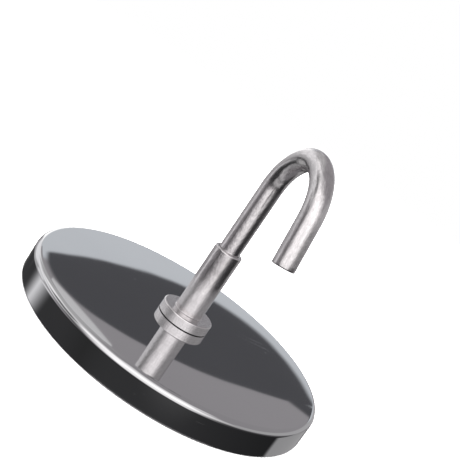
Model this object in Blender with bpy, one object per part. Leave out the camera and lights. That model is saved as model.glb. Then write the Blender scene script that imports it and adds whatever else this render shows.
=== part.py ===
"""Round magnet hook: a plated steel cup that holds a ring magnet, a flanged sleeve bolted through it, and a wire
hook that screws into the sleeve.

Metres, +Z up. The origin is the centre of the face that grips, and +Z runs up the axis of the sleeve and the hook.
The hook's free leg lies towards +X. Run it with: blender --background --python part.py
"""

import math

import bmesh
import bpy
from mathutils import Matrix, Vector

# Gaps between pieces
contact_gap = 0.0003
seam_gap = 0.00015
running_clearance = 0.0001
cut_overrun = 0.001
merge_share = 0.01
crease_angle = math.radians(28)

# Steel cup
cup_diameter = 0.067
cup_height = 0.006
cup_wall = 0.0012
cup_top_thickness = 0.0012
cup_rim_radius = 0.0012
cup_hem_radius = 0.00025
cup_inner_corner_radius = 0.0008
cup_hole_edge_break = 0.0002
cup_segments = 96

# Ring magnet and the resin that beds it in the cup
resin_width = 0.001
resin_recess = 0.0003
resin_corner_share = 0.8
magnet_bore_diameter = 0.014
magnet_edge_chamfer = 0.0004
magnet_segments = 64

# Wire hook
wire_diameter = 0.0046
shank_exposed_length = 0.015
bend_radius = 0.01035
bend_angle = math.radians(168.5)
free_leg_length = 0.0094
tip_chamfer = 0.0003
hook_thread_step = 0.0003
hook_thread_pitch = 0.0007
hook_thread_length = 0.007
wire_segments = 24
bend_steps = 26

# Flanged sleeve
sleeve_wall = 0.0007
sleeve_length = 0.0175
sleeve_mouth_chamfer = 0.00025
sleeve_counterbore_depth = 0.005
sleeve_bore_runout = 0.001
sleeve_root_radius = 0.0003
flange_overhang = 0.0026
flange_thickness = 0.0021
flange_edge_radius = 0.0002
sleeve_segments = 32

# Spigot under the flange, with its nut and spring washer
spigot_diameter = 0.005
spigot_thread_pitch = 0.0008
spigot_end_chamfer = 0.0004
spigot_stand_out = 0.0002
nut_thickness = 0.0027
nut_width_share = 1.6
nut_face_share = 0.96
nut_chamfer_angle = math.radians(30)
washer_thickness = 0.001
washer_width = 0.0019
washer_slit_angle = math.radians(14)
washer_steps = 30

# Thread form: how deep a groove is in pitches, how many rings of points a turn has, and how wide its crest is
thread_depth_share = 0.6
thread_rings_per_turn = 4
thread_crest_share = 0.25

# Values that follow from the sizes above
cup_radius = cup_diameter / 2
cup_inner_radius = cup_radius - cup_wall
cup_underside = cup_height - cup_top_thickness
spigot_radius = spigot_diameter / 2
cup_hole_radius = spigot_radius + contact_gap
resin_outer_radius = cup_inner_radius - contact_gap
resin_inner_radius = resin_outer_radius - resin_width
magnet_radius = resin_inner_radius - contact_gap
magnet_bore_radius = magnet_bore_diameter / 2
magnet_thickness = cup_underside - contact_gap

wire_radius = wire_diameter / 2
hook_thread_radius = wire_radius - hook_thread_step
counterbore_radius = wire_radius + running_clearance
tapped_bore_radius = hook_thread_radius + running_clearance
sleeve_radius = counterbore_radius + sleeve_wall
flange_radius = sleeve_radius + flange_overhang

flange_bottom = cup_height + seam_gap
flange_top = flange_bottom + flange_thickness
sleeve_top = flange_bottom + sleeve_length
counterbore_bottom = sleeve_top - sleeve_counterbore_depth
hook_bottom = counterbore_bottom - hook_thread_step + contact_gap - hook_thread_length
bore_bottom = hook_bottom - sleeve_bore_runout
washer_top = cup_underside - contact_gap
washer_bottom = washer_top - washer_thickness
nut_top = washer_bottom - contact_gap
nut_bottom = nut_top - nut_thickness
spigot_bottom = nut_bottom - spigot_stand_out

bend_start = sleeve_top + shank_exposed_length


def clear_scene():
    """Removes what the scene holds at the start."""
    for scene_object in list(bpy.data.objects):
        bpy.data.objects.remove(scene_object, do_unlink=True)


def metal(name, colour, roughness, metallic=1.0):
    """A Principled material of one colour."""
    material = bpy.data.materials.new(name)
    material.use_nodes = True
    shader = material.node_tree.nodes["Principled BSDF"]
    shader.inputs["Base Color"].default_value = (*colour, 1.0)
    shader.inputs["Roughness"].default_value = roughness
    shader.inputs["Metallic"].default_value = metallic
    material.diffuse_color = (*colour, 1.0)
    return material


def arc(centre, radius, start, end, steps):
    """Points of an arc in the (r, z) plane, with both its ends."""
    turns = [math.radians(start + (end - start) * step / steps) for step in range(steps + 1)]
    return [(centre[0] + radius * math.cos(turn), centre[1] + radius * math.sin(turn)) for turn in turns]


def join_object(name, mesh, material, location=(0, 0, 0)):
    """Puts a finished mesh into the scene, shaded smooth with its sharp edges kept."""
    mesh.materials.append(material)
    mesh.shade_smooth()
    mesh.set_sharp_from_angle(angle=crease_angle)
    piece = bpy.data.objects.new(name, mesh)
    piece.location = location
    bpy.context.scene.collection.objects.link(piece)
    return piece


def mesh_of(bm, name):
    """Closes the bmesh into a mesh whose faces point outwards."""
    bmesh.ops.recalc_face_normals(bm, faces=bm.faces)
    mesh = bpy.data.meshes.new(name)
    bm.to_mesh(mesh)
    bm.free()
    return mesh


def spun(outline, steps, closed, angle=2 * math.pi):
    """Turns an outline of (r, z) points about the Z axis. An open outline starts and ends on the axis."""
    bm = bmesh.new()
    points = [bm.verts.new((r, 0, z)) for r, z in outline]
    pairs = list(zip(points, points[1:]))
    if closed:
        pairs.append((points[-1], points[0]))
    edges = [bm.edges.new(pair) for pair in pairs]
    whole_turn = math.isclose(angle, 2 * math.pi)
    geometry = points + edges
    if not whole_turn:
        geometry = geometry + [bm.faces.new(points)]
    bmesh.ops.spin(
        bm,
        geom=geometry,
        cent=(0, 0, 0),
        axis=(0, 0, 1),
        angle=angle,
        steps=steps,
        use_merge=whole_turn,
    )
    if not closed:
        merge_distance = running_clearance * merge_share
        on_axis = [vert for vert in bm.verts if vert.co.xy.length < merge_distance]
        bmesh.ops.remove_doubles(bm, verts=on_axis, dist=merge_distance)
    return bm


def thread_ridge(turns):
    """The height of the thread's ridge, 0 in the groove and 1 on the crest, at a place counted in turns."""
    across = 1 - abs(2 * (turns % 1) - 1)
    return min(1.0, across * (1 + thread_crest_share))


def cut_thread(bm, crest_radius, pitch, bottom, top):
    """Cuts a right-hand thread into the rings of points that lie at the crest radius between two heights."""
    depth = pitch * thread_depth_share
    fade = pitch / 2
    for vert in bm.verts:
        radius = vert.co.xy.length
        height = vert.co.z
        if abs(radius - crest_radius) > running_clearance / 2 or not bottom <= height <= top:
            continue
        turn = math.atan2(vert.co.y, vert.co.x) / (2 * math.pi)
        strength = min(1.0, (height - bottom) / fade, (top - height) / fade)
        groove = depth * strength * (1 - thread_ridge(height / pitch - turn))
        share = (radius - groove) / radius
        vert.co.x *= share
        vert.co.y *= share


def thread_heights(bottom, top, pitch):
    """The heights of the rings of points along a thread, from its bottom to its top."""
    count = max(2, round((top - bottom) / pitch * thread_rings_per_turn))
    return [bottom + (top - bottom) * step / count for step in range(count + 1)]


def make_cup(material):
    """The pressed cup: a flat top with a hole in its middle, a rounded rim and a straight skirt."""
    hole_top = cup_height - cup_hole_edge_break
    outline = arc((cup_radius - cup_hem_radius, cup_hem_radius), cup_hem_radius, -90, 0, 2)
    outline += arc((cup_radius - cup_rim_radius, cup_height - cup_rim_radius), cup_rim_radius, 0, 90, 5)
    outline += [(cup_hole_radius + cup_hole_edge_break, cup_height), (cup_hole_radius, hole_top)]
    outline += [(cup_hole_radius, cup_underside)]
    corner = (cup_inner_radius - cup_inner_corner_radius, cup_underside - cup_inner_corner_radius)
    outline += arc(corner, cup_inner_corner_radius, 90, 0, 2)
    outline += [(cup_inner_radius, 0)]
    return join_object("steel_cup", mesh_of(spun(outline, cup_segments, True), "steel_cup"), material)


def ring_outline(inner, outer, bottom, top, chamfer):
    """A rectangle in the (r, z) plane with its four corners cut off."""
    return [
        (inner + chamfer, bottom),
        (outer - chamfer, bottom),
        (outer, bottom + chamfer),
        (outer, top - chamfer),
        (outer - chamfer, top),
        (inner + chamfer, top),
        (inner, top - chamfer),
        (inner, bottom + chamfer),
    ]


def make_magnet(material):
    """The ring magnet. Its lower face is flush with the cup's lower edge."""
    corner = max(magnet_edge_chamfer, cup_inner_corner_radius - contact_gap - resin_width)
    outline = ring_outline(magnet_bore_radius, magnet_radius, 0, magnet_thickness, corner)
    return join_object("ring_magnet", mesh_of(spun(outline, magnet_segments, True), "ring_magnet"), material)


def make_resin(material):
    """The ring of resin between the magnet and the cup's skirt, cast a little short of the face."""
    top = cup_underside - contact_gap
    corner_width = min(cup_inner_corner_radius, resin_width * resin_corner_share)
    outline = [
        (resin_inner_radius, resin_recess),
        (resin_outer_radius, resin_recess),
        (resin_outer_radius, top - cup_inner_corner_radius),
        (resin_outer_radius - corner_width, top),
        (resin_inner_radius, top),
    ]
    return join_object("resin_ring", mesh_of(spun(outline, magnet_segments, True), "resin_ring"), material)


def make_sleeve(material):
    """The turned sleeve: a threaded spigot, the flange, the tube and the stepped bore that takes the hook."""
    thread_top = min(washer_top, flange_bottom - spigot_thread_pitch)
    thread_bottom = spigot_bottom + spigot_end_chamfer
    outline = [(0, spigot_bottom), (spigot_radius - spigot_end_chamfer, spigot_bottom)]
    outline += [(spigot_radius, z) for z in thread_heights(thread_bottom, thread_top, spigot_thread_pitch)]
    outline += [(spigot_radius, flange_bottom)]
    edge = flange_radius - flange_edge_radius
    outline += arc((edge, flange_bottom + flange_edge_radius), flange_edge_radius, -90, 0, 2)
    outline += arc((edge, flange_top - flange_edge_radius), flange_edge_radius, 0, 90, 2)
    root = (sleeve_radius + sleeve_root_radius, flange_top + sleeve_root_radius)
    outline += arc(root, sleeve_root_radius, 270, 180, 2)
    outline += [
        (sleeve_radius, sleeve_top - sleeve_mouth_chamfer),
        (sleeve_radius - sleeve_mouth_chamfer, sleeve_top),
        (counterbore_radius, sleeve_top),
        (counterbore_radius, counterbore_bottom),
        (tapped_bore_radius, counterbore_bottom - hook_thread_step),
        (tapped_bore_radius, bore_bottom),
        (0, bore_bottom),
    ]
    bm = spun(outline, sleeve_segments, False)
    cut_thread(bm, spigot_radius, spigot_thread_pitch, thread_bottom, thread_top)
    return join_object("threaded_sleeve", mesh_of(bm, "threaded_sleeve"), material)


def make_washer(material):
    """The split spring washer, flattened under the nut."""
    inner = spigot_radius + contact_gap
    outline = [
        (inner, 0),
        (inner + washer_width, 0),
        (inner + washer_width, washer_thickness),
        (inner, washer_thickness),
    ]
    bm = spun(outline, washer_steps, True, 2 * math.pi - washer_slit_angle)
    return join_object("spring_washer", mesh_of(bm, "spring_washer"), material, (0, 0, washer_bottom))


def make_nut(material):
    """The thin hexagon nut: a six-sided prism, its corners turned off and its bore drilled."""
    flat_radius = spigot_diameter * nut_width_share / 2
    corner_radius = flat_radius / math.cos(math.pi / 6)
    bm = bmesh.new()
    bmesh.ops.create_circle(bm, cap_ends=True, radius=corner_radius, segments=6)
    top = bmesh.ops.extrude_face_region(bm, geom=bm.faces[:])
    raised = [item for item in top["geom"] if isinstance(item, bmesh.types.BMVert)]
    bmesh.ops.translate(bm, verts=raised, vec=(0, 0, nut_thickness))
    nut = join_object("hex_nut", mesh_of(bm, "hex_nut"), material, (0, 0, nut_bottom))

    face_radius = flat_radius * nut_face_share
    slope = math.tan(nut_chamfer_angle)
    wide = corner_radius + cut_overrun
    rise = (wide - face_radius) * slope
    turned = [
        (0, -face_radius * slope),
        (wide, rise),
        (wide, nut_thickness - rise),
        (0, nut_thickness + face_radius * slope),
    ]
    bored = spigot_radius + running_clearance
    drilled = [(0, -cut_overrun), (bored, -cut_overrun), (bored, nut_thickness + cut_overrun)]
    drilled += [(0, nut_thickness + cut_overrun)]
    for name, shape, operation in (("nut_turning", turned, "INTERSECT"), ("nut_bore", drilled, "DIFFERENCE")):
        cutter = join_object(name, mesh_of(spun(shape, sleeve_segments, False), name), material)
        cutter.parent = nut
        cutter.hide_render = True
        cutter.display_type = "WIRE"
        cut = nut.modifiers.new(name, "BOOLEAN")
        cut.operation = operation
        cut.object = cutter
    return nut


def make_hook(material):
    """The wire: a threaded end, the shank, the round bend and the free leg. The origin is on the sleeve's axis."""
    bm = bmesh.new()
    thread = thread_heights(0, hook_thread_length, hook_thread_pitch)
    shoulder = hook_thread_length + hook_thread_step
    bend_height = bend_start - hook_bottom
    bmesh.ops.create_circle(bm, cap_ends=True, radius=hook_thread_radius - hook_thread_step, segments=wire_segments)
    rings = [(hook_thread_radius, height) for height in thread[1:]]
    rings += [(wire_radius, shoulder), (wire_radius, bend_height)]
    face = bm.faces[:][0]
    for radius, height in rings:
        raised = bmesh.ops.extrude_face_region(bm, geom=[face])["geom"]
        face = next(item for item in raised if isinstance(item, bmesh.types.BMFace))
        for vert in face.verts:
            direction = vert.co.xy.normalized()
            vert.co = (direction.x * radius, direction.y * radius, height)
    cut_thread(bm, hook_thread_radius, hook_thread_pitch, 0, hook_thread_length)

    bent = bmesh.ops.spin(
        bm,
        geom=[face, *face.edges, *face.verts],
        cent=(bend_radius, 0, bend_height),
        axis=(0, 1, 0),
        angle=bend_angle,
        steps=bend_steps,
        use_merge=False,
    )
    face = next(item for item in bent["geom_last"] if isinstance(item, bmesh.types.BMFace))
    leg_direction = Vector((math.sin(bend_angle), 0, math.cos(bend_angle)))
    for length, inset in ((free_leg_length - tip_chamfer, 0), (tip_chamfer, tip_chamfer)):
        raised = bmesh.ops.extrude_face_region(bm, geom=[face])["geom"]
        face = next(item for item in raised if isinstance(item, bmesh.types.BMFace))
        bmesh.ops.translate(bm, verts=face.verts, vec=leg_direction * length)
        centre = face.calc_center_median()
        shrink = Matrix.Scale(1 - inset / wire_radius, 4)
        bmesh.ops.transform(bm, matrix=shrink, space=Matrix.Translation(-centre), verts=face.verts)

    # Only the two ends stay closed: a cross-section that is left inside the wire goes
    sections = [item for item in bm.faces if len(item.verts) == wire_segments]
    bottom = min(sections, key=lambda item: item.calc_center_median().z)
    inside = [item for item in sections if item not in (face, bottom)]
    bmesh.ops.delete(bm, geom=inside, context="FACES_ONLY")
    return join_object("wire_hook", mesh_of(bm, "wire_hook"), material)


def main():
    clear_scene()
    chrome = metal("chrome_plate", (0.55, 0.56, 0.58), 0.03)
    nickel = metal("satin_nickel", (0.62, 0.59, 0.59), 0.28)
    zinc = metal("zinc_plate", (0.55, 0.56, 0.57), 0.35)
    ferrite = metal("ferrite", (0.045, 0.045, 0.05), 0.6, 0.2)
    resin = metal("bedding_resin", (0.02, 0.02, 0.022), 0.45, 0.0)

    base = bpy.data.objects.new("magnet_base", None)
    bpy.context.scene.collection.objects.link(base)
    fixed = [
        make_cup(chrome),
        make_magnet(ferrite),
        make_resin(resin),
        make_sleeve(nickel),
        make_washer(zinc),
        make_nut(zinc),
    ]
    for piece in fixed:
        piece.parent = base

    hook_axis = bpy.data.objects.new("hook_axis", None)
    hook_axis.location = (0, 0, hook_bottom)
    hook_axis.parent = base
    bpy.context.scene.collection.objects.link(hook_axis)
    make_hook(nickel).parent = hook_axis


main()
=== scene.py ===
"""Looks of a round magnet hook: a mirror-bright steel cup, a satin nickel sleeve and a bent wire hook.

The file is laid out as a Blender add-on and is run as a script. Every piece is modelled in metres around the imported
frame, +Z up, with the gripping face at zero height and the hook's free leg towards +X.
"""

import math

import bmesh
import bpy
from bmesh.types import BMEdge, BMVert
from bpy.props import FloatProperty, FloatVectorProperty, IntProperty, PointerProperty
from bpy.types import Operator, Panel, PropertyGroup
from mathutils import Matrix, Quaternion, Vector, noise


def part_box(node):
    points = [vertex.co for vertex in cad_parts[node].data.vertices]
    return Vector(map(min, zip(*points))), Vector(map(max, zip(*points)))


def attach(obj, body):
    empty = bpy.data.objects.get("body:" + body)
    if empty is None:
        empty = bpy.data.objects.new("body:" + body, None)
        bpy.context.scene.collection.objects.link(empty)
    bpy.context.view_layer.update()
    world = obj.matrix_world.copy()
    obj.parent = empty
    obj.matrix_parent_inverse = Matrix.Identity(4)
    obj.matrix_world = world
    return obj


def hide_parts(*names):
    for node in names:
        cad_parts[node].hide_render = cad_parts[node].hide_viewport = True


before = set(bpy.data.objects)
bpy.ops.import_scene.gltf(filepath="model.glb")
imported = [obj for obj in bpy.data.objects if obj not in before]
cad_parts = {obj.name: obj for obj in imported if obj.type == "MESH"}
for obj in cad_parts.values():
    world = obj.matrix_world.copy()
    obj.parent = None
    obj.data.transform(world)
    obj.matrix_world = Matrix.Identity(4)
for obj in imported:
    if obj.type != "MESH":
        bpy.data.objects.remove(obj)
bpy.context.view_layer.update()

bl_info = {
    "name": "Magnet Hook",
    "version": (1, 0, 0),
    "blender": (4, 5, 0),
    "location": "View3D > Sidebar > Magnet Hook",
    "description": "Models and finishes a round magnet with a bent wire hook",
    "category": "Object",
}

MM = 0.001
FULL_TURN = 2 * math.pi

cup_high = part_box("steel_cup")[1]
magnet_low, magnet_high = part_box("ring_magnet")
resin_low, resin_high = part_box("resin_ring")
sleeve_low, sleeve_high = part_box("threaded_sleeve")
washer_low, washer_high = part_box("spring_washer")
nut_low, nut_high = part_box("hex_nut")
hook_low, hook_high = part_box("wire_hook")


def length(name, description, default):
    """A length property in metres."""
    return FloatProperty(name=name, description=description, default=default, min=0, precision=5, unit="LENGTH")


def turn(name, description, degrees):
    """An angle property."""
    return FloatProperty(name=name, description=description, default=math.radians(degrees), unit="ROTATION")


def share(name, description, default):
    """A property from none to all."""
    return FloatProperty(name=name, description=description, default=default, min=0, max=1, subtype="FACTOR")


def colour(name, description, default):
    """A linear colour property."""
    return FloatVectorProperty(
        name=name, description=description, default=default, size=3, min=0, soft_max=1, subtype="COLOR"
    )


def count(name, description, default):
    """A whole number property."""
    return IntProperty(name=name, description=description, default=default, min=3)


class CupSizes(PropertyGroup):
    """The pressed steel cup."""

    radius: length("Radius", "Outer radius of the cup", cup_high.x)
    height: length("Height", "Height of the cup over its gripping face", cup_high.z)
    wall: length("Wall", "Thickness of the skirt", 1.2 * MM)
    top: length("Top", "Thickness of the flat top", 1.2 * MM)
    rim_radius: length("Rim radius", "Radius between the flat top and the skirt", 1.2 * MM)
    hem_radius: length("Hem radius", "Radius of the skirt's lower outer edge", 0.25 * MM)
    hem_inner_radius: length("Inner hem radius", "Radius of the skirt's lower inner edge", 0.15 * MM)
    corner_radius: length("Inner corner", "Radius between the top and the skirt inside the cup", 0.8 * MM)
    hole_radius: length("Hole radius", "Radius of the hole for the spigot", 2.8 * MM)
    hole_edge: length("Hole edge break", "Width of the broken edge of the hole", 0.2 * MM)
    segments: count("Segments", "Faces round the cup", 384)


class FillSizes(PropertyGroup):
    """The ring magnet and the resin that beds it."""

    magnet_radius: length("Magnet radius", "Outer radius of the ring magnet", magnet_high.x)
    magnet_bore: length("Magnet bore", "Radius of the ring magnet's bore", 7.0 * MM)
    magnet_edge: length("Magnet edge", "Width of the ground edges of the magnet", 0.4 * MM)
    chip_depth: length("Chip depth", "Deepest chip in the magnet's edges", 0.16 * MM)
    chip_size: length("Chip spacing", "How far apart the chips are", 2.2 * MM)
    resin_inner: length("Resin inner radius", "Inner radius of the resin ring", resin_high.x - 1.0 * MM)
    resin_outer: length("Resin outer radius", "Outer radius of the resin ring", resin_high.x)
    resin_sag: length("Resin sag", "How far the cast face dips between its edges", 0.12 * MM)
    segments: count("Segments", "Faces round the magnet", 256)


class SleeveSizes(PropertyGroup):
    """The turned sleeve with its flange and spigot."""

    flange_radius: length("Flange radius", "Outer radius of the flange", sleeve_high.x)
    flange_bottom: length("Flange bottom", "Height of the flange's underside", cup_high.z + 0.11 * MM)
    flange_thickness: length("Flange thickness", "Height of the flange", 2.14 * MM)
    flange_edge: length("Flange edge", "Radius of the flange's upper edge", 0.28 * MM)
    seam_edge: length("Seam edge", "Radius of the flange's edge at the seam", 0.06 * MM)
    tube_radius: length("Tube radius", "Outer radius of the tube", 3.1 * MM)
    root_radius: length("Root radius", "Radius between the flange and the tube", 0.15 * MM)
    mouth_chamfer: length("Mouth chamfer", "Chamfer at the mouth of the tube", 0.25 * MM)
    mouth_radius: length("Mouth radius", "Radius of the counterbore", 2.4 * MM)
    counterbore: length("Counterbore depth", "Depth of the counterbore", 5.0 * MM)
    bore_radius: length("Bore radius", "Radius of the bore for the hook's thread", 2.1 * MM)
    bore_bottom: length("Bore bottom", "Height of the bore's floor", 10.65 * MM)
    bore_step: length("Bore step", "Height of the cone under the counterbore", 0.3 * MM)
    spigot_radius: length("Spigot radius", "Outer radius of the spigot's thread", 2.5 * MM)
    spigot_chamfer: length("Spigot chamfer", "Chamfer at the spigot's end", 0.4 * MM)
    thread_pitch: length("Thread pitch", "Pitch of the spigot's thread", 0.8 * MM)
    segments: count("Segments", "Faces round the sleeve", 128)


class FixingSizes(PropertyGroup):
    """The hexagon nut and the spring washer."""

    nut_flat: length("Nut half width", "Half of the nut's width over its flats", nut_high.y)
    nut_bore: length("Nut bore", "Radius of the nut's bore", 2.6 * MM)
    nut_bore_edge: length("Nut bore edge", "Chamfer at the ends of the nut's bore", 0.25 * MM)
    nut_face: share("Nut face", "Radius of the flat face as a share of the half width", 0.96)
    nut_groove: length("Nut thread depth", "Depth of the thread cut into the bore", 0.35 * MM)
    washer_inner: length("Washer inner radius", "Inner radius of the spring washer", 2.8 * MM)
    washer_outer: length("Washer outer radius", "Outer radius of the spring washer", washer_high.x)
    washer_edge: length("Washer edge", "Bevel of the washer's edges", 0.12 * MM)
    washer_slit: turn("Washer slit", "Opening of the washer's slit", 14)
    segments: count("Segments", "Faces round the nut and the washer", 96)


class HookSizes(PropertyGroup):
    """The bent wire."""

    wire_radius: length("Wire radius", "Radius of the wire", hook_high.y)
    thread_radius: length("Thread radius", "Radius of the crest of the hook's thread", 2.0 * MM)
    thread_pitch: length("Thread pitch", "Pitch of the hook's thread", 0.7 * MM)
    thread_length: length("Thread length", "Length of the threaded end", 7.0 * MM)
    thread_step: length("Thread step", "Height of the cones at both ends of the thread", 0.3 * MM)
    bend_start: length("Bend start", "Height at which the bend starts", 38.65 * MM)
    bend_radius: length("Bend radius", "Radius of the bend along the wire's centre", 10.35 * MM)
    bend_angle: turn("Bend angle", "How far the wire is bent round", 168.5)
    leg_length: length("Free leg", "Length of the straight free leg", 9.4 * MM)
    tip_radius: length("Tip radius", "Radius of the edge of the cut end", 0.3 * MM)
    segments: count("Segments", "Faces round the wire", 64)
    bend_steps: count("Bend steps", "Faces along the bend", 128)


class Finishes(PropertyGroup):
    """Colours and gloss."""

    plate: colour("Bright plate", "Colour of the cup's mirror plating", (0.60, 0.603, 0.609))
    plate_haze: colour("Plate haze", "Colour of the faint haze on the plating", (0.53, 0.53, 0.54))
    plate_gloss: share("Plate roughness", "Roughness of the plating", 0.02)
    nickel: colour("Satin nickel", "Colour of the sleeve and the hook", (0.76, 0.738, 0.741))
    nickel_shade: colour("Nickel shade", "Colour in the grain of the nickel", (0.47, 0.457, 0.459))
    nickel_gloss: share("Nickel roughness", "Roughness of the satin nickel", 0.18)
    zinc: colour("Zinc", "Colour of the nut and the washer", (0.58, 0.59, 0.61))
    zinc_shade: colour("Zinc shade", "Second colour of the zinc, where its film is thicker", (0.50, 0.49, 0.45))
    ferrite: colour("Ferrite", "Colour of the ground magnet", (0.052, 0.052, 0.056))
    ferrite_shade: colour("Ferrite shade", "Colour in the grinding lines of the magnet", (0.028, 0.028, 0.031))
    resin: colour("Resin", "Colour of the bedding resin", (0.020, 0.020, 0.022))
    resin_shade: colour("Resin shade", "Colour of the dull patches of the resin", (0.040, 0.039, 0.041))


class Studio(PropertyGroup):
    """Camera, floor and light."""

    azimuth: turn("Azimuth", "Where the camera stands, from -Y towards +X", 65.888)
    elevation: turn("Elevation", "Height of the camera over the horizon", 12.741)
    roll: turn("Roll", "How far the camera is turned about its own axis", 33.915)
    distance: length("Distance", "From the aim point to the camera", 166.33 * MM)
    aim: FloatVectorProperty(
        name="Aim", description="Point that the camera looks at", default=(-0.919 * MM, -2.059 * MM, 27.298 * MM),
        subtype="XYZ", unit="LENGTH",
    )
    focal_length: FloatProperty(
        name="Focal length", description="Focal length on a sensor 36 mm wide", default=64.79, unit="CAMERA"
    )
    floor_radius: length("Floor radius", "Radius at which the pale floor has faded into the backdrop", 0.7)
    floor_gap: length("Floor gap", "How far the floor lies under the gripping face", 0.05 * MM)
    floor_tone: colour("Floor", "Colour of the floor", (0.90, 0.90, 0.90))
    backdrop: colour("Backdrop", "Colour behind the object", (1.0, 1.0, 1.0))
    soft_light: FloatProperty(name="Soft light", description="Power of the overhead light", default=60.0, unit="POWER")
    under_light: FloatProperty(name="Under light", description="Power of the light below", default=9.0, unit="POWER")


class MagnetHookSettings(PropertyGroup):
    """All sizes, finishes and the studio."""

    cup: PointerProperty(type=CupSizes)
    fill: PointerProperty(type=FillSizes)
    sleeve: PointerProperty(type=SleeveSizes)
    fixings: PointerProperty(type=FixingSizes)
    hook: PointerProperty(type=HookSizes)
    finish: PointerProperty(type=Finishes)
    studio: PointerProperty(type=Studio)


# Meshes

# How far a ring of points stands from a rounding, to keep the face beside it flat
SUPPORT = 0.02 * MM
# Points closer than this are one point
MERGE = 0.001 * MM
# Points closer than this to a radius lie on it
ON_RADIUS = 0.01 * MM
# Edges that turn more than this stay sharp, on most pieces and on the nut
CREASE = math.radians(32)
NUT_CREASE = math.radians(20)
# Slope of the nut's turned chamfer
NUT_SLOPE = math.radians(30)
# Edges of the washer that turn more than this are bevelled
WASHER_CORNER = math.radians(60)

# Every thread: its depth and its flat crest as shares of the pitch, its rings of points to a turn, and the turns over
# which it fades in at each end
THREAD_DEPTH = 0.6
THREAD_CREST = 0.2
THREAD_RINGS = 10
THREAD_FADE = 0.5
# Pitches of plain spigot under the flange
SPIGOT_PLAIN = 2
# Break of the mouth's inner edge as a share of its outer chamfer
MOUTH_BREAK = 0.25
# Level of noise over which the magnet's edges are chipped, and how fast a chip deepens above it
CHIP_LEVEL = 0.25
CHIP_RISE = 2.2
# Faces along the free leg
LEG_STEPS = 8


def arc(centre, radius, start, end, steps):
    """Points of an arc in the (r, z) plane, with both its ends. Angles are in degrees from +r."""
    turns = [math.radians(start + (end - start) * step / steps) for step in range(steps + 1)]
    return [(centre[0] + radius * math.cos(angle), centre[1] + radius * math.sin(angle)) for angle in turns]


def spread(start, end, steps):
    """Evenly spaced values from start to end, with both ends."""
    return [start + (end - start) * step / steps for step in range(steps + 1)]


def line(start, end, steps):
    """Evenly spaced points of a straight line in the (r, z) plane, with both its ends."""
    return list(zip(spread(start[0], end[0], steps), spread(start[1], end[1], steps)))


def spun(outline, steps, closed=True, angle=FULL_TURN):
    """Turns an outline of (r, z) points about the Z axis. An open outline may start and end on the axis."""
    bm = bmesh.new()
    points = [bm.verts.new((r, 0, z)) for r, z in outline]
    pairs = list(zip(points, points[1:]))
    if closed:
        pairs.append((points[-1], points[0]))
    edges = [bm.edges.new(pair) for pair in pairs]
    geometry = points + edges
    whole = math.isclose(angle, FULL_TURN)
    if not whole:
        geometry = geometry + [bm.faces.new(points)]
    bmesh.ops.spin(bm, geom=geometry, cent=(0, 0, 0), axis=(0, 0, 1), angle=angle, steps=steps, use_merge=whole)
    on_axis = [vert for vert in bm.verts if vert.co.xy.length < MERGE]
    bmesh.ops.remove_doubles(bm, verts=on_axis, dist=MERGE)
    return bm


def bevel(bm, edges, width, steps):
    """Rounds edges over."""
    bmesh.ops.bevel(
        bm, geom=edges, offset=width, offset_type="OFFSET", affect="EDGES", segments=steps, profile=0.5, material=-1
    )


def make_object(bm, name, material):
    """Makes the bmesh an object of one material."""
    mesh = bpy.data.meshes.new(name)
    bm.to_mesh(mesh)
    bm.free()
    mesh.materials.append(material)
    made = bpy.data.objects.new(name, mesh)
    bpy.context.scene.collection.objects.link(made)
    return made


def finish_piece(bm, name, material, replaced, body="magnet_base", crease=CREASE):
    """Makes the bmesh a smooth-shaded object that rides on a body and stands for a CAD node."""
    bmesh.ops.recalc_face_normals(bm, faces=bm.faces)
    piece = make_object(bm, name, material)
    piece.data.shade_smooth()
    piece.data.set_sharp_from_angle(angle=crease)
    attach(piece, body)
    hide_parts(replaced)


def groove(bm, crest, pitch, depth, bottom, top, outward=False):
    """Cuts a right-hand thread into the rings of points that lie at the crest radius between two heights."""
    for vert in bm.verts:
        radius = vert.co.xy.length
        if abs(radius - crest) > ON_RADIUS or not bottom <= vert.co.z <= top:
            continue
        place = vert.co.z / pitch - math.atan2(vert.co.y, vert.co.x) / FULL_TURN
        across = 1 - abs(2 * (place % 1) - 1)
        ridge = min(1.0, across / (1 - THREAD_CREST))
        from_end = min(vert.co.z - bottom, top - vert.co.z) / pitch
        cut = depth * min(1.0, from_end / THREAD_FADE) * (1 - ridge)
        vert.co.xy = vert.co.xy * ((radius + cut if outward else radius - cut) / radius)


# Materials

def node(tree, kind, **values):
    """Adds a node and sets its properties."""
    made = tree.nodes.new(kind)
    for name, value in values.items():
        setattr(made, name, value)
    return made


def plug(tree, socket, value):
    """Links a socket to another node's output, or sets its value."""
    if isinstance(value, bpy.types.NodeSocket):
        tree.links.new(value, socket)
    elif socket.type == "RGBA":
        socket.default_value = (*value[:3], 1)
    else:
        socket.default_value = value


def feed(tree, made, **inputs):
    """Plugs the inputs of a node, named with _ for each space."""
    for name, value in inputs.items():
        plug(tree, made.inputs[name.replace("_", " ")], value)


def calculate(tree, operation, *values):
    """A Math node."""
    made = node(tree, "ShaderNodeMath", operation=operation)
    for socket, value in zip(made.inputs, values):
        plug(tree, socket, value)
    return made.outputs[0]


def total(tree, start, *parts):
    """A start value plus the parts, each of them a value and how much of it is added."""
    for value, amount in parts:
        start = calculate(tree, "MULTIPLY_ADD", value, amount, start)
    return start


def noise_at(tree, place, scale, detail, roughness):
    """A Noise Texture's value, from 0 to 1."""
    texture = node(tree, "ShaderNodeTexNoise")
    feed(tree, texture, Vector=place, Scale=scale, Detail=detail, Roughness=roughness)
    return texture.outputs[0]


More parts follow.
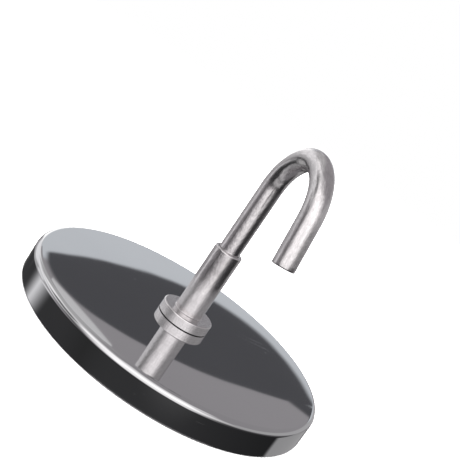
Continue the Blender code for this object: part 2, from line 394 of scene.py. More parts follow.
def blend_colours(tree, amount, first, second):
    """Mixes two colours."""
    made = node(tree, "ShaderNodeMix", data_type="RGBA")
    for socket, value in zip((made.inputs[0], made.inputs[6], made.inputs[7]), (amount, first, second)):
        plug(tree, socket, value)
    return made.outputs[2]


def span(tree, value, low, high, smooth=False):
    """Maps a value from between low and high to between 0 and 1, held at the ends."""
    made = node(tree, "ShaderNodeMapRange", interpolation_type="SMOOTHSTEP" if smooth else "LINEAR")
    feed(tree, made, Value=value, From_Min=low, From_Max=high)
    return made.outputs[0]


def group_tree(name, inputs, output):
    """A new shader group with number inputs and one number output. A point is given as None."""
    tree = bpy.data.node_groups.new(name, "ShaderNodeTree")
    for label, default in inputs.items():
        kind = "NodeSocketVector" if default is None else "NodeSocketFloat"
        socket = tree.interface.new_socket(label, in_out="INPUT", socket_type=kind)
        if default is not None:
            socket.default_value = default
    tree.interface.new_socket(output, in_out="OUTPUT", socket_type="NodeSocketFloat")
    return tree, node(tree, "NodeGroupInput").outputs, node(tree, "NodeGroupOutput").inputs[output]


def stretched(tree, given):
    """A group's place, scaled for a pattern that runs along Z."""
    scale = node(tree, "ShaderNodeCombineXYZ")
    feed(tree, scale, X=given["Across"], Y=given["Across"], Z=given["Along"])
    made = node(tree, "ShaderNodeVectorMath", operation="MULTIPLY")
    tree.links.new(given["Place"], made.inputs[0])
    tree.links.new(scale.outputs[0], made.inputs[1])
    return made.outputs[0]


def grain_group():
    """Satin grain: noise that is stretched along Z."""
    tree, given, end = group_tree("satin_grain", {"Place": None, "Across": 4000.0, "Along": 600.0}, "Grain")
    grain = noise_at(tree, stretched(tree, given), scale=1.0, detail=4.0, roughness=0.62)
    tree.links.new(span(tree, grain, 0.32, 0.68), end)
    return tree


def hairline_group():
    """Hairlines: thin straight scratches along Z, with breaks in them."""
    inputs = {"Place": None, "Across": 2500.0, "Along": 40.0, "Amount": 0.3}
    tree, given, end = group_tree("hairlines", inputs, "Line")
    lines = noise_at(tree, stretched(tree, given), scale=1.0, detail=2.0, roughness=0.5)
    # Where the noise is over this level there is a line
    level = total(tree, 0.78, (given["Amount"], -0.3))
    tree.links.new(span(tree, calculate(tree, "SUBTRACT", lines, level), 0.0, 0.04), end)
    return tree


def speck_group():
    """Specks: small round dots, each with its own size, with bare places between them."""
    tree, given, end = group_tree("specks", {"Place": None, "Per metre": 300.0, "Size": 0.12}, "Speck")
    cells = node(tree, "ShaderNodeTexVoronoi", feature="F1")
    feed(tree, cells, Vector=given["Place"], Scale=given["Per metre"])
    channels = node(tree, "ShaderNodeSeparateColor")
    tree.links.new(cells.outputs["Color"], channels.inputs[0])
    own_size = calculate(tree, "MULTIPLY", calculate(tree, "POWER", channels.outputs[0], 4.0), given["Size"])
    inside = calculate(tree, "SUBTRACT", own_size, cells.outputs["Distance"])
    tree.links.new(span(tree, inside, -0.01, 0.02), end)
    return tree


def blotch_group():
    """Blotches: slow, soft changes over the surface."""
    tree, given, end = group_tree("blotches", {"Place": None, "Per metre": 60.0}, "Blotch")
    blotch = noise_at(tree, given["Place"], scale=given["Per metre"], detail=3.0, roughness=0.55)
    tree.links.new(span(tree, blotch, 0.3, 0.7), end)
    return tree


def turned_group():
    """Turning marks: fine circles about the Z axis."""
    tree, given, end = group_tree("turning_marks", {"Place": None, "Per metre": 5000.0}, "Mark")
    parts = node(tree, "ShaderNodeSeparateXYZ")
    tree.links.new(given["Place"], parts.inputs[0])
    x, y, z = parts.outputs
    radius = calculate(tree, "SQRT", total(tree, 0.0, (x, x), (y, y)))
    place = node(tree, "ShaderNodeCombineXYZ")
    feed(tree, place, X=radius, Y=z)
    mark = noise_at(tree, place.outputs[0], scale=given["Per metre"], detail=2.0, roughness=0.6)
    tree.links.new(span(tree, mark, 0.3, 0.7), end)
    return tree


GROUPS = {
    "satin_grain": grain_group,
    "hairlines": hairline_group,
    "specks": speck_group,
    "blotches": blotch_group,
    "turning_marks": turned_group,
}


def effect(tree, name, place, **values):
    """Places a shared effect in a material and gives its output."""
    shared = bpy.data.node_groups.get(name) or GROUPS[name]()
    made = node(tree, "ShaderNodeGroup", node_tree=shared)
    feed(tree, made, Place=place, **values)
    return made.outputs[0]


def new_material(name, metallic):
    """A material with its shader and its place on the object."""
    material = bpy.data.materials.new(name)
    material.use_nodes = True
    tree = material.node_tree
    shader = tree.nodes["Principled BSDF"]
    shader.inputs["Metallic"].default_value = metallic
    place = node(tree, "ShaderNodeTexCoord").outputs["Object"]
    return material, tree, shader, place


def turned_place(tree, place, rotation):
    """The same place, turned about the object's origin by angles in degrees."""
    mapping = node(tree, "ShaderNodeMapping")
    feed(tree, mapping, Vector=place, Rotation=[math.radians(angle) for angle in rotation])
    return mapping.outputs[0]


def bump(tree, height, distance, before=None):
    """A Bump node on a height, over an earlier one where there is one."""
    made = node(tree, "ShaderNodeBump")
    feed(tree, made, Height=height, Distance=distance, Strength=1.0)
    if before:
        tree.links.new(before, made.inputs["Normal"])
    return made.outputs[0]


def mix_shaders(tree, amount, first, second, output):
    """Mixes two shader nodes into an output node."""
    mixed = node(tree, "ShaderNodeMixShader")
    for socket, value in zip(mixed.inputs, (amount, first.outputs[0], second.outputs[0])):
        tree.links.new(value, socket)
    tree.links.new(mixed.outputs[0], node(tree, output).inputs["Surface"])


def mirror_plate(finish):
    """Bright plating: a little haze, hairlines from polishing, dust specks and a slow wave in the pressed steel."""
    material, tree, shader, place = new_material("mirror_plate", 1.0)
    haze = effect(tree, "blotches", place, Per_metre=45.0)
    lines = effect(tree, "hairlines", turned_place(tree, place, (90, 0, 35)), Across=2600.0, Along=30.0, Amount=0.15)
    cross = effect(tree, "hairlines", turned_place(tree, place, (90, 0, -50)), Across=3100.0, Along=45.0, Amount=0.05)
    specks = effect(tree, "specks", place, Per_metre=330.0, Size=0.08)
    dull = calculate(tree, "MAXIMUM", total(tree, 0.0, (haze, 0.3)), total(tree, 0.0, (specks, 0.5)))
    base = blend_colours(tree, dull, finish.plate, finish.plate_haze)
    scratch = calculate(tree, "MAXIMUM", lines, cross)
    rough = total(tree, finish.plate_gloss, (scratch, 0.12), (specks, 0.08))
    wave = noise_at(tree, place, scale=70.0, detail=1.0, roughness=0.4)
    feed(tree, shader, Base_Color=base, Roughness=rough, Normal=bump(tree, wave, 0.006 * MM))
    return material


def satin_nickel(name, finish, attribute=None, turned=0.0):
    """Satin nickel: fine grain along the wire or the tube, broken streaks, and turning marks on turned faces."""
    material, tree, shader, place = new_material(name, 1.0)
    if attribute:
        place = node(tree, "ShaderNodeAttribute", attribute_name=attribute).outputs["Vector"]
    grain = effect(tree, "satin_grain", place, Across=3200.0, Along=900.0)
    fine = effect(tree, "satin_grain", place, Across=8000.0, Along=2600.0)
    streak = effect(tree, "hairlines", place, Across=4200.0, Along=160.0, Amount=0.5)
    ripple = effect(tree, "satin_grain", place, Across=1300.0, Along=620.0)
    patch = effect(tree, "blotches", place, Per_metre=520.0)
    texture = total(tree, 0.0, (grain, 0.5), (fine, 0.5))
    if turned:
        marks = effect(tree, "turning_marks", place, Per_metre=5200.0)
        texture = total(tree, 0.0, (texture, 1 - turned), (marks, turned))
    base = blend_colours(tree, total(tree, 0.0, (patch, 0.25), (texture, 0.75)), finish.nickel, finish.nickel_shade)
    uneven = 0.10
    rough = total(tree, finish.nickel_gloss - uneven / 2, (texture, uneven), (streak, 0.08))
    relief = bump(tree, texture, 0.004 * MM, before=bump(tree, ripple, 0.02 * MM))
    feed(tree, shader, Base_Color=base, Roughness=rough, Normal=relief)
    return material


def zinc_plate(finish):
    """Bright zinc with a slightly uneven clear film and light turning marks."""
    material, tree, shader, place = new_material("zinc_plate", 1.0)
    film = effect(tree, "blotches", place, Per_metre=500.0)
    marks = effect(tree, "turning_marks", place, Per_metre=6000.0)
    specks = effect(tree, "specks", place, Per_metre=1500.0, Size=0.14)
    base = blend_colours(tree, film, finish.zinc, finish.zinc_shade)
    rough = total(tree, 0.26, (marks, 0.12), (specks, 0.2))
    feed(tree, shader, Base_Color=base, Roughness=rough, Normal=bump(tree, marks, 0.006 * MM))
    return material


def ground_ferrite(finish):
    """Ground ferrite: grinding lines across the face, a sandy grain and small pits."""
    material, tree, shader, place = new_material("ground_ferrite", 0.25)
    across = turned_place(tree, place, (90, 0, 20))
    lines = effect(tree, "satin_grain", across, Across=2200.0, Along=35.0)
    sand = effect(tree, "satin_grain", place, Across=5000.0, Along=5000.0)
    pits = effect(tree, "specks", place, Per_metre=700.0, Size=0.22)
    tone = total(tree, 0.0, (sand, 0.4), (lines, 0.6))
    base = blend_colours(tree, calculate(tree, "MAXIMUM", tone, pits), finish.ferrite, finish.ferrite_shade)
    relief = bump(tree, total(tree, tone, (pits, -2.0)), 0.012 * MM)
    feed(tree, shader, Base_Color=base, Roughness=total(tree, 0.42, (tone, 0.2)), Normal=relief)
    return material


def cast_resin(finish):
    """Cast resin: a dull skin with small bubbles."""
    material, tree, shader, place = new_material("cast_resin", 0.0)
    skin = effect(tree, "blotches", place, Per_metre=260.0)
    bubbles = effect(tree, "specks", place, Per_metre=900.0, Size=0.3)
    base = blend_colours(tree, skin, finish.resin, finish.resin_shade)
    relief = bump(tree, total(tree, skin, (bubbles, -1.0)), 0.025 * MM)
    feed(tree, shader, Base_Color=base, Roughness=total(tree, 0.34, (skin, 0.2)), Normal=relief)
    return material


# Pieces

class MAGNETHOOK_OT_cup(Operator):
    """Model the pressed steel cup"""

    bl_idname = "magnet_hook.cup"
    bl_label = "Steel Cup"

    def execute(self, context):
        settings = context.scene.magnet_hook
        cup = settings.cup
        radius, top, hole, hole_edge = cup.radius, cup.height, cup.hole_radius, cup.hole_edge
        rim, hem, inner_hem, corner = cup.rim_radius, cup.hem_radius, cup.hem_inner_radius, cup.corner_radius
        inner, underside = radius - cup.wall, top - cup.top
        outline = arc((radius - hem, hem), hem, -90, 0, steps=6)
        outline += [(radius, hem + SUPPORT), (radius, top - rim - SUPPORT)]
        outline += arc((radius - rim, top - rim), rim, 0, 90, steps=20)
        outline += [(radius - rim - SUPPORT, top)]
        outline += line((radius - rim, top), (hole + hole_edge, top), steps=8)[1:]
        outline += [(hole, top - hole_edge), (hole, underside), (inner - corner - SUPPORT, underside)]
        outline += arc((inner - corner, underside - corner), corner, 90, 0, steps=8)
        outline += [(inner, inner_hem + SUPPORT)]
        outline += arc((inner + inner_hem, inner_hem), inner_hem, 180, 270, steps=4)
        bm = spun(outline, cup.segments)
        finish_piece(bm, "cup_shell", mirror_plate(settings.finish), "steel_cup")
        return {"FINISHED"}


class MAGNETHOOK_OT_fill(Operator):
    """Model the ring magnet and the resin that beds it"""

    bl_idname = "magnet_hook.fill"
    bl_label = "Magnet and Resin"

    def execute(self, context):
        settings = context.scene.magnet_hook
        fill = settings.fill
        low, high = magnet_low.z, magnet_high.z
        bore, radius, edge = fill.magnet_bore, fill.magnet_radius, fill.magnet_edge
        outline = [((bore + radius) / 2, low)]
        outline += line((radius - edge, low), (radius, low + edge), steps=4)
        outline += [(radius, high - edge), (radius - edge, high), (bore + edge, high), (bore, high - edge)]
        outline += line((bore, low + edge), (bore + edge, low), steps=4)
        bm = spun(outline, fill.segments)
        self.chip(bm, fill, low + edge)
        finish_piece(bm, "ferrite_ring", ground_ferrite(settings.finish), "ring_magnet")

        inner, outer, top = fill.resin_inner, fill.resin_outer, resin_high.z
        shoulder = settings.cup.corner_radius
        outline = [
            (inner + (outer - inner) * part, resin_low.z + fill.resin_sag * math.sin(math.pi * part))
            for part in spread(0, 1, steps=8)
        ]
        outline += [(outer, top - shoulder), (outer - shoulder, top), (inner, top)]
        bm = spun(outline, fill.segments)
        finish_piece(bm, "resin_bed", cast_resin(settings.finish), "resin_ring")
        return {"FINISHED"}

    def chip(self, bm, fill, edge_top):
        """Breaks small chips out of the magnet's two lower edges."""
        inner_edge = fill.magnet_bore + fill.magnet_edge + MERGE
        outer_edge = fill.magnet_radius - fill.magnet_edge - MERGE
        for vert in bm.verts:
            radius = vert.co.xy.length
            if vert.co.z <= edge_top + MERGE and not inner_edge <= radius <= outer_edge:
                chipped = (noise.noise(vert.co / fill.chip_size) - CHIP_LEVEL) * CHIP_RISE
                depth = fill.chip_depth * min(1.0, max(0.0, chipped))
                inward = 1 if radius < inner_edge else -1
                vert.co.xy = vert.co.xy * (1 + inward * depth / radius)
                vert.co.z += depth


class MAGNETHOOK_OT_sleeve(Operator):
    """Model the turned sleeve with its flange and threaded spigot"""

    bl_idname = "magnet_hook.sleeve"
    bl_label = "Flanged Sleeve"

    def execute(self, context):
        settings = context.scene.magnet_hook
        sleeve = settings.sleeve
        bottom, top = sleeve_low.z, sleeve_high.z
        spigot, thread_bottom = sleeve.spigot_radius, bottom + sleeve.spigot_chamfer
        thread_top = sleeve.flange_bottom - SPIGOT_PLAIN * sleeve.thread_pitch
        rings = round((thread_top - thread_bottom) / sleeve.thread_pitch * THREAD_RINGS)
        outline = [(0, bottom), (spigot - sleeve.spigot_chamfer, bottom)]
        outline += line((spigot, thread_bottom), (spigot, thread_top), rings)

        flange, seam, edge = sleeve.flange_radius, sleeve.seam_edge, sleeve.flange_edge
        flange_low, flange_top = sleeve.flange_bottom, sleeve.flange_bottom + sleeve.flange_thickness
        outline += [(spigot, flange_low), (flange - seam - SUPPORT, flange_low)]
        outline += arc((flange - seam, flange_low + seam), seam, -90, 0, steps=4)
        outline += [(flange, flange_low + seam + SUPPORT), (flange, flange_top - edge - SUPPORT)]
        outline += arc((flange - edge, flange_top - edge), edge, 0, 90, steps=6)

        tube, root, chamfer = sleeve.tube_radius, sleeve.root_radius, sleeve.mouth_chamfer
        outline += [(flange - edge - SUPPORT, flange_top), (tube + root + SUPPORT, flange_top)]
        outline += arc((tube + root, flange_top + root), root, 270, 180, steps=6)
        outline += line((tube, flange_top + root + SUPPORT), (tube, top - chamfer - SUPPORT), steps=12)
        outline += arc((tube - chamfer, top - chamfer), chamfer, 0, 90, steps=5)

        mouth, bore, inner_break = sleeve.mouth_radius, sleeve.bore_radius, chamfer * MOUTH_BREAK
        step_top = top - sleeve.counterbore
        outline += [(mouth + inner_break, top), (mouth, top - inner_break)]
        outline += [(mouth, step_top), (bore, step_top - sleeve.bore_step)]
        outline += [(bore, sleeve.bore_bottom), (0, sleeve.bore_bottom)]
        bm = spun(outline, sleeve.segments, closed=False)
        groove(bm, spigot, sleeve.thread_pitch, sleeve.thread_pitch * THREAD_DEPTH, thread_bottom, thread_top)
        material = satin_nickel("satin_nickel_turned", settings.finish, turned=0.35)
        finish_piece(bm, "flanged_sleeve", material, "threaded_sleeve")
        return {"FINISHED"}


class MAGNETHOOK_OT_fixings(Operator):
    """Model the hexagon nut and the spring washer"""

    bl_idname = "magnet_hook.fixings"
    bl_label = "Nut and Washer"

    def execute(self, context):
        settings = context.scene.magnet_hook
        fixings = settings.fixings
        material = zinc_plate(settings.finish)
        self.make_nut(fixings, material, settings.sleeve.thread_pitch)
        self.make_washer(fixings, material)
        return {"FINISHED"}

    def make_nut(self, fixings, material, pitch):
        """A spun ring whose outer points are moved out to the hexagon and down to the turned chamfer."""
        low, high = nut_low.z, nut_high.z
        bore, edge, flat = fixings.nut_bore, fixings.nut_bore_edge, fixings.nut_flat
        face = flat * fixings.nut_face
        outline = [(face, low), (flat, low), (flat, high), (face, high), (bore + edge, high)]
        outline += line((bore, high - edge), (bore, low + edge), steps=20)
        outline += [(bore + edge, low)]
        bm = spun(outline, fixings.segments)
        for vert in bm.verts:
            radius = vert.co.xy.length
            if radius < flat - MERGE:
                continue
            sector = math.atan2(vert.co.y, vert.co.x) % (math.pi / 3) - math.pi / 6
            wide = flat / math.cos(sector)
            vert.co.xy = vert.co.xy * (wide / radius)
            fall = (wide - face) * math.tan(NUT_SLOPE)
            vert.co.z += fall if vert.co.z < (low + high) / 2 else -fall
        groove(bm, bore, pitch, fixings.nut_groove, low + edge, high - edge, outward=True)
        finish_piece(bm, "hexagon_nut", material, "hex_nut", crease=NUT_CREASE)

    def make_washer(self, fixings, material):
        """A flat ring with a slit, its edges bevelled."""
        low, high = washer_low.z, washer_high.z
        inner, outer = fixings.washer_inner, fixings.washer_outer
        outline = [(inner, low), (outer, low), (outer, high), (inner, high)]
        bm = spun(outline, fixings.segments, angle=FULL_TURN - fixings.washer_slit)
        bmesh.ops.recalc_face_normals(bm, faces=bm.faces)
        square = [item for item in bm.edges if item.is_manifold and item.calc_face_angle(0) > WASHER_CORNER]
        bevel(bm, square, fixings.washer_edge, steps=3)
        finish_piece(bm, "split_washer", material, "spring_washer")


class MAGNETHOOK_OT_hook(Operator):
    """Model the bent wire with its threaded end"""

    bl_idname = "magnet_hook.hook"
    bl_label = "Wire Hook"

    def execute(self, context):
        settings = context.scene.magnet_hook
        hook = settings.hook
        crest, wire = hook.thread_radius, hook.wire_radius
        bottom, thread_bottom = hook_low.z, hook_low.z + hook.thread_step
        thread_top = bottom + hook.thread_length
        rings = round(hook.thread_length / hook.thread_pitch * THREAD_RINGS)
        outline = [(0, bottom), (crest - hook.thread_step, bottom)]
        outline += line((crest, thread_bottom), (crest, thread_top), rings)
        outline += line((wire, thread_top + hook.thread_step), (wire, hook.bend_start), steps=24)
        bm = spun(outline, hook.segments, closed=False)
        groove(bm, crest, hook.thread_pitch, hook.thread_pitch * THREAD_DEPTH, thread_bottom, thread_top)

        grown = bmesh.ops.spin(
            bm, geom=[item for item in bm.edges if item.is_boundary], cent=(hook.bend_radius, 0, hook.bend_start),
            axis=(0, 1, 0), angle=hook.bend_angle, steps=hook.bend_steps, use_merge=False,
        )["geom_last"]
        end = [item for item in grown if isinstance(item, BMEdge)]
        step = Vector((math.sin(hook.bend_angle), 0, math.cos(hook.bend_angle))) * (hook.leg_length / LEG_STEPS)
        for _ in range(LEG_STEPS):
            grown = bmesh.ops.extrude_edge_only(bm, edges=end)["geom"]
            end = [item for item in grown if isinstance(item, BMEdge)]
            bmesh.ops.translate(bm, verts=[item for item in grown if isinstance(item, BMVert)], vec=step)
        bmesh.ops.contextual_create(bm, geom=end)
        bevel(bm, end, hook.tip_radius, steps=5)
        self.keep_straight_place(bm, hook)
        material = satin_nickel("satin_nickel_drawn", settings.finish, attribute="straight_place")
        finish_piece(bm, "bent_wire", material, "wire_hook", body="hook")
        return {"FINISHED"}

    def keep_straight_place(self, bm, hook):
        """Stores where each point would be if the wire were straight, for a grain that follows the wire."""
        layer = bm.verts.layers.float_vector.new("straight_place")
        centre = Vector((hook.bend_radius, 0, hook.bend_start))
        for vert in bm.verts:
            place = vert.co - centre
            angle = 0.0
            if place.z > 0 or vert.co.x > hook.bend_radius:
                angle = min(math.atan2(place.z, -place.x) % FULL_TURN, hook.bend_angle)
            unbent = Matrix.Rotation(-angle, 3, "Y") @ place
            vert[layer] = (unbent.x + hook.bend_radius, unbent.y, unbent.z + angle * hook.bend_radius)


# Studio

def soft_card_group(shape):
    """A soft-edged oblong or oval card on the sky, given by azimuth and elevation in degrees."""
    labels = (
        "Azimuth", "Elevation", "Card azimuth", "Card elevation", "Half width", "Half height", "Tilt", "Softness"
    )
    tree, given, end = group_tree("soft_" + shape, dict.fromkeys(labels, 0.0), "Mask")
    beside = calculate(tree, "SUBTRACT", given["Azimuth"], given["Card azimuth"])
    beside = calculate(tree, "WRAP", beside, 180.0, -180.0)
    above = calculate(tree, "SUBTRACT", given["Elevation"], given["Card elevation"])
    tilt = calculate(tree, "RADIANS", given["Tilt"])
    cosine, sine = calculate(tree, "COSINE", tilt), calculate(tree, "SINE", tilt)
    across = total(tree, 0.0, (beside, cosine), (above, sine))
    upward = total(tree, 0.0, (above, cosine), (beside, calculate(tree, "MULTIPLY", sine, -1.0)))
    ways = ((across, given["Half width"]), (upward, given["Half height"]))
    outer, inner = [calculate(tree, "MULTIPLY", given["Softness"], part) for part in (-0.5, 0.5)]

    def inside(depth):
        return span(tree, depth, outer, inner, smooth=True)

    if shape == "oval":
        parts = [calculate(tree, "POWER", calculate(tree, "DIVIDE", way, half), 2.0) for way, half in ways]
        reach = calculate(tree, "SQRT", calculate(tree, "ADD", *parts))
        mask = inside(calculate(tree, "MULTIPLY", calculate(tree, "SUBTRACT", 1.0, reach), given["Half height"]))
    else:
        depths = [calculate(tree, "SUBTRACT", half, calculate(tree, "ABSOLUTE", way)) for way, half in ways]
        mask = calculate(tree, "MULTIPLY", *[inside(depth) for depth in depths])
    tree.links.new(mask, end)
    return tree


# Tones of the sky, and the elevations between which the ceiling's turns into the table's and back again
CEILING = (0.385, 0.368, 0.385)
TABLE = (0.050, 0.050, 0.052)
TABLE_START = (-14.0, -20.0)
TABLE_END = (-60.0, -75.0)
# The studio's cards, painted over each other in this order: name, shape, azimuth, elevation, half width, half height,
# tilt and softness in degrees, and brightness in red, green and blue
CARDS = [
    ("left_ceiling", "oblong", -61, 20, 24, 33, 21, 7, (0.55, 0.545, 0.555)),
    ("left_top", "oblong", -73, 49, 32, 15, 16, 18, (0.60, 0.595, 0.60)),
    ("over_light", "oblong", 52, 42, 55, 16, -1, 14, (1.57, 1.54, 1.55)),
    ("high_light", "oblong", 78, 57, 51, 8, -18, 17, (1.07, 1.05, 1.06)),
    ("key_box", "oval", 77.5, 11, 51, 23, -4, 29, (2.02, 1.98, 1.99)),
    ("near_box", "oblong", 77, 0, 29, 14, -12, 10, (1.40, 1.37, 1.38)),
    ("left_haze", "oblong", -30, 43, 30, 9, 14, 13, (1.33, 1.31, 1.32)),
    ("left_box", "oblong", -34, 20.5, 39, 6, -3, 14, (1.27, 1.26, 1.28)),
    ("left_back", "oblong", -74, 13, 19, 10, -29, 9, (1.10, 1.09, 1.11)),
    ("left_window", "oblong", -42, 3.5, 7, 10, -2, 5.5, (0.99, 0.985, 1.00)),
    ("left_strip", "oblong", -35, -16, 3.2, 19, -53, 19.5, (1.36, 1.35, 1.38)),
    ("camera_gap", "oblong", 5, 5.5, 5.1, 45, 28, 36, (0.03, 0.03, 0.03)),
    ("front_corner", "oval", -6.5, 27, 18, 9, -13, 15, (0.89, 0.88, 0.89)),
    ("left_gap", "oblong", -15.5, 32, 18, 8, -6, 11, (0.22, 0.218, 0.22)),
    ("top_patch", "oval", -9, 61, 31, 9, 12, 12, (0.82, 0.81, 0.82)),
    ("near_table", "oblong", 84, -36, 50, 7.8, 0, 4, (0.58, 0.575, 0.58)),
    ("back_table", "oblong", -87, -33, 27, 8.8, -2, 4, (0.52, 0.515, 0.52)),
    ("right_flag", "oblong", 156.5, -14.5, 49, 17, -15, 43, (0.02, 0.02, 0.021)),
    ("right_line", "oblong", -178, 12.5, 44, 13, -11, 6, (0.54, 0.53, 0.54)),
    ("right_back", "oblong", -151.5, -27.5, 27, 13, -32, 5, (0.40, 0.395, 0.40)),
    ("back_gap", "oblong", -110, -15, 22, 12, 0, 6, (0.09, 0.09, 0.09)),
    ("back_line", "oblong", -96, 6, 9, 10, 0, 4, (1.50, 1.50, 1.50)),
    ("back_strip", "oblong", -117, 17.2, 24, 3.0, 4, 0.4, (0.72, 0.745, 0.785)),
    ("back_card", "oblong", -106.85, 28.66, 3.3, 6, -15.7, 0.13, (0.76, 0.75, 0.76)),
]
# The dark flag, painted last: what its wide and its narrow oval share, and a flat oval at its tip
FLAG = [
    ("flag_wide", "oval", -34.51, 179.00, 184.29, 53.65, 59.87, 0.10),
    ("flag_narrow", "oval", -117.59, 17.51, 13.94, 4.36, 12.41, 0.15),
    ("flag_tip", "oval", -131.00, 19.45, 9.08, 0.37, 2.38, 0.20),
]
FLAG_TONE = (0.097, 0.097, 0.106)

# The lights: name, height and size in metres, and how far each is turned from facing down
LIGHTS = [("soft_light", 1.2, 2.4, 0), ("under_light", -0.8, 1.2, math.pi)]
# Width of the camera's sensor in millimetres
SENSOR_WIDTH = 36
# Shares of the floor's radius at which it starts to fade and has faded, and its tone in the blotches
FLOOR_FADE = (0.45, 0.95)
FLOOR_BLOTCH = 0.98


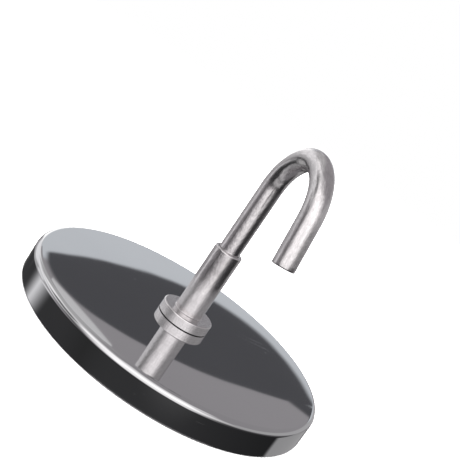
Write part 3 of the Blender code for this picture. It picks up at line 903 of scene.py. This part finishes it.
class MAGNETHOOK_OT_stage(Operator):
    """Set up the camera, the pale floor and the soft studio light"""

    bl_idname = "magnet_hook.stage"
    bl_label = "Camera, Floor and Light"

    def execute(self, context):
        studio = context.scene.magnet_hook.studio
        self.make_camera(context, studio)
        self.make_floor(context, studio)
        self.make_lights(context, studio)
        self.make_sky(context, studio)
        context.scene.view_settings.view_transform = "Standard"
        return {"FINISHED"}

    def make_camera(self, context, studio):
        """Points the camera at the aim, turned about its own axis."""
        data = bpy.data.cameras.new("camera")
        data.lens = studio.focal_length
        data.sensor_width = SENSOR_WIDTH
        data.clip_start = 1 * MM
        camera = bpy.data.objects.new("camera", data)
        level = math.cos(studio.elevation)
        back = Vector((
            math.sin(studio.azimuth) * level, -math.cos(studio.azimuth) * level, math.sin(studio.elevation)
        ))
        camera.rotation_mode = "QUATERNION"
        camera.rotation_quaternion = back.to_track_quat("Z", "Y") @ Quaternion((0, 0, 1), studio.roll)
        camera.location = Vector(studio.aim) + back * studio.distance
        context.scene.collection.objects.link(camera)
        context.scene.camera = camera

    def make_floor(self, context, studio):
        """A round pale floor that bright metal doesn't see, open to a camera below it."""
        bm = bmesh.new()
        bmesh.ops.create_circle(bm, cap_ends=True, radius=studio.floor_radius, segments=96)
        bmesh.ops.translate(bm, verts=bm.verts, vec=(0, 0, -studio.floor_gap))
        material = bpy.data.materials.new("pale_floor")
        material.use_nodes = True
        tree = material.node_tree
        tree.nodes.clear()
        place = node(tree, "ShaderNodeTexCoord").outputs["Object"]
        blotch = effect(tree, "blotches", place, Per_metre=300.0)
        darker = [value * FLOOR_BLOTCH for value in studio.floor_tone]
        paper = node(tree, "ShaderNodeBsdfDiffuse")
        feed(tree, paper, Color=blend_colours(tree, blotch, studio.floor_tone, darker))
        clear = node(tree, "ShaderNodeBsdfTransparent")
        below = node(tree, "ShaderNodeNewGeometry").outputs["Backfacing"]
        reach = node(tree, "ShaderNodeVectorMath", operation="LENGTH")
        tree.links.new(place, reach.inputs[0])
        fade = [studio.floor_radius * part for part in FLOOR_FADE]
        faded = span(tree, reach.outputs["Value"], *fade, smooth=True)
        mix_shaders(tree, calculate(tree, "MAXIMUM", below, faded), paper, clear, "ShaderNodeOutputMaterial")
        floor = make_object(bm, "floor", material)
        floor.visible_glossy = False
        floor.visible_shadow = False

    def make_lights(self, context, studio):
        """One soft light over the floor and one under it. Bright metal doesn't see them."""
        for name, height, size, turned in LIGHTS:
            data = bpy.data.lights.new(name, "AREA")
            data.shape = "DISK"
            data.size = size
            data.energy = getattr(studio, name)
            light = bpy.data.objects.new(name, data)
            light.location = (0, 0, height)
            light.rotation_euler = (turned, 0, 0)
            light.visible_glossy = False
            light.visible_camera = False
            context.scene.collection.objects.link(light)

    def make_sky(self, context, studio):
        """Paints the studio's cards on the sky by direction. The camera itself sees a plain backdrop."""
        world = bpy.data.worlds.new("studio")
        world.use_nodes = True
        context.scene.world = world
        tree = world.node_tree
        tree.nodes.clear()
        parts = node(tree, "ShaderNodeSeparateXYZ")
        tree.links.new(node(tree, "ShaderNodeTexCoord").outputs["Generated"], parts.inputs[0])
        x, y, z = parts.outputs
        front = calculate(tree, "MULTIPLY", y, -1.0)
        azimuth = calculate(tree, "DEGREES", calculate(tree, "ARCTAN2", x, front))
        elevation = calculate(tree, "DEGREES", calculate(tree, "ARCSINE", z))

        def card(name, shape, *sizes):
            shared = bpy.data.node_groups.get("soft_" + shape) or soft_card_group(shape)
            made = node(tree, "ShaderNodeGroup", node_tree=shared, label=name)
            for socket, value in zip(made.inputs, (azimuth, elevation, *sizes)):
                plug(tree, socket, value)
            return made.outputs[0]

        tone = CEILING
        for elevations, next_tone in ((TABLE_START, TABLE), (TABLE_END, CEILING)):
            tone = blend_colours(tree, span(tree, elevation, *elevations, smooth=True), tone, next_tone)
        for *sizes, brightness in CARDS:
            tone = blend_colours(tree, card(*sizes), tone, brightness)
        wide, narrow, tip = [card(*sizes) for sizes in FLAG]
        flag = calculate(tree, "MAXIMUM", calculate(tree, "MULTIPLY", wide, narrow), tip)
        sky = node(tree, "ShaderNodeBackground")
        feed(tree, sky, Color=blend_colours(tree, flag, tone, FLAG_TONE))
        backdrop = node(tree, "ShaderNodeBackground")
        feed(tree, backdrop, Color=studio.backdrop)
        seen = node(tree, "ShaderNodeLightPath").outputs["Is Camera Ray"]
        mix_shaders(tree, seen, sky, backdrop, "ShaderNodeOutputWorld")


class MAGNETHOOK_PT_sidebar(Panel):
    """Lists the pieces in the 3D view's sidebar"""

    bl_label = "Magnet Hook"
    bl_idname = "MAGNETHOOK_PT_sidebar"
    bl_space_type = "VIEW_3D"
    bl_region_type = "UI"
    bl_category = "Magnet Hook"

    def draw(self, context):
        settings = context.scene.magnet_hook
        for operator, group in [*STEPS, (None, "finish")]:
            box = self.layout.box()
            if operator:
                box.operator(operator.bl_idname)
            else:
                box.label(text="Finishes")
            owner = getattr(settings, group)
            for name in owner.bl_rna.properties.keys():
                if name not in ("rna_type", "name"):
                    box.prop(owner, name)


STEPS = [
    (MAGNETHOOK_OT_cup, "cup"),
    (MAGNETHOOK_OT_fill, "fill"),
    (MAGNETHOOK_OT_sleeve, "sleeve"),
    (MAGNETHOOK_OT_fixings, "fixings"),
    (MAGNETHOOK_OT_hook, "hook"),
    (MAGNETHOOK_OT_stage, "studio"),
]
CLASSES = [
    CupSizes, FillSizes, SleeveSizes, FixingSizes, HookSizes, Finishes, Studio, MagnetHookSettings,
    *[operator for operator, group in STEPS], MAGNETHOOK_PT_sidebar,
]


def register():
    for item in CLASSES:
        bpy.utils.register_class(item)
    bpy.types.Scene.magnet_hook = PointerProperty(type=MagnetHookSettings)


def unregister():
    del bpy.types.Scene.magnet_hook
    for item in reversed(CLASSES):
        bpy.utils.unregister_class(item)


def main():
    register()
    bpy.ops.magnet_hook.cup()
    bpy.ops.magnet_hook.fill()
    bpy.ops.magnet_hook.sleeve()
    bpy.ops.magnet_hook.fixings()
    bpy.ops.magnet_hook.hook()
    bpy.ops.magnet_hook.stage()


if __name__ == "__main__":
    main()
